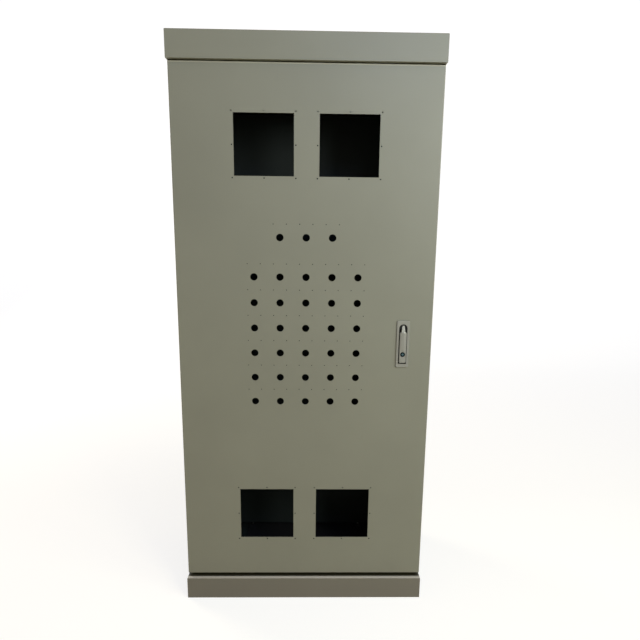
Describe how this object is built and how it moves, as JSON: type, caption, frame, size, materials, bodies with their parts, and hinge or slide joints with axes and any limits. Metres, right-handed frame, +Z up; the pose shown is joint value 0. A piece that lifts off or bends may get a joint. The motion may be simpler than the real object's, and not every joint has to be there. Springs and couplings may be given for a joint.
{
  "type": "floor-standing utility cabinet",
  "caption": "Tall sheet-steel cabinet on a plinth with a punched full-size door, swing-handle rod lock, roof cap and an inner mounting plate.",
  "frame": {"origin": "on the floor, at the middle of the plinth's footprint", "axes": "+Z up, +X to the right of someone facing the door, +Y to the back, so the door faces -Y"},
  "size_m": [0.8, 0.4, 1.8],
  "materials": {
    "cabinet_paint": "satin powder coat",
    "plinth_paint": "satin powder coat",
    "plate_paint": "dark satin paint",
    "zinc_sheet": "galvanised",
    "zinc_fastener": "zinc plated",
    "gasket_foam": "closed foam",
    "satin_die_cast": "satin plated die casting",
    "button_blue": "moulded",
    "plug_bright": "plated",
    "latch_steel": "plain steel",
    "black_plastic": "moulded"
  },
  "bodies": {
    "cabinet": {"plinth": "plinth_paint", "left_side_panel": "cabinet_paint", "right_side_panel": "cabinet_paint", "floor_panel": "cabinet_paint", "top_panel": "cabinet_paint", "rear_panel": "cabinet_paint", "roof_cap": "cabinet_paint", "gland_plate": "black_plastic", "left_support_angle": "zinc_sheet", "right_support_angle": "zinc_sheet", "mounting_plate": "plate_paint", "body_earth_stud": "zinc_fastener", "lower_hinge_lug": "cabinet_paint", "middle_hinge_lug": "cabinet_paint", "upper_hinge_lug": "cabinet_paint", "lower_hinge_pin": "zinc_fastener", "middle_hinge_pin": "zinc_fastener", "upper_hinge_pin": "zinc_fastener", "plinth_bolts": "zinc_fastener", "roof_cap_bolts": "zinc_fastener", "gland_plate_screws": "zinc_fastener", "rear_panel_screws": "zinc_fastener", "mounting_plate_bolts": "zinc_fastener"},
    "door": {"door_panel": "cabinet_paint", "door_gasket": "gasket_foam", "left_door_stiffener": "cabinet_paint", "right_door_stiffener": "cabinet_paint", "door_earth_stud": "zinc_fastener", "lower_hinge_leaf": "cabinet_paint", "middle_hinge_leaf": "cabinet_paint", "upper_hinge_leaf": "cabinet_paint", "lock_escutcheon": "satin_die_cast", "lock_clamp": "black_plastic", "latch_base_plate": "zinc_sheet", "latch_back_plate": "zinc_sheet", "latch_pillars": "zinc_fastener", "lift_spring": "zinc_fastener", "upper_end_rod_guide": "black_plastic", "upper_mid_rod_guide": "black_plastic", "lower_mid_rod_guide": "black_plastic", "lower_end_rod_guide": "black_plastic", "latch_screws": "zinc_fastener", "lock_screws": "zinc_fastener"},
    "spindle_set": {"spindle": "satin_die_cast", "spindle_clip": "zinc_fastener", "latch_pinion": "latch_steel", "handle_pin": "zinc_fastener"},
    "handle": {"handle_lever": "satin_die_cast"},
    "button": {"lock_button": "button_blue"},
    "plug": {"key_plug": "plug_bright"},
    "rod_up": {"upper_rod": "latch_steel"},
    "rod_down": {"lower_rod": "latch_steel"}
  },
  "joints": [
    {"name": "door_swing", "type": "hinge", "parent": "cabinet", "child": "door", "pos_m": [-0.39, -0.175, 0.9035], "axis": [0, 0, -1], "range_deg": [0, 115]},
    {"name": "handle_turn", "type": "hinge", "parent": "door", "child": "spindle_set", "pos_m": [0.3065, -0.192, 0.951], "axis": [0, 1, 0], "range_deg": [0, 90]},
    {"name": "handle_lift", "type": "hinge", "parent": "spindle_set", "child": "handle", "pos_m": [0.3065, -0.1855, 0.951], "axis": [-1, 0, 0], "range_deg": [0, 30]},
    {"name": "button_press", "type": "slide", "parent": "handle", "child": "button", "axis": [0, 1, 0], "range_m": [0, 0.0025], "stiffness_N_per_m": 400},
    {"name": "key_turn", "type": "hinge", "parent": "button", "child": "plug", "pos_m": [0.3065, -0.1975, 0.868], "axis": [0, 1, 0], "range_deg": [0, 90]},
    {"name": "upper_rod_slide", "type": "slide", "parent": "door", "child": "rod_up", "axis": [0, 0, 1], "range_m": [-0.019, 0]},
    {"name": "lower_rod_slide", "type": "slide", "parent": "door", "child": "rod_down", "axis": [0, 0, 1], "range_m": [0, 0.019]}
  ],
  "couplings": [
    {"joint": "handle_lift", "follows": "handle_turn", "ratio": 0.3333},
    {"joint": "upper_rod_slide", "follows": "handle_turn", "m_per_rad": -0.012},
    {"joint": "lower_rod_slide", "follows": "handle_turn", "m_per_rad": 0.012}
  ]
}
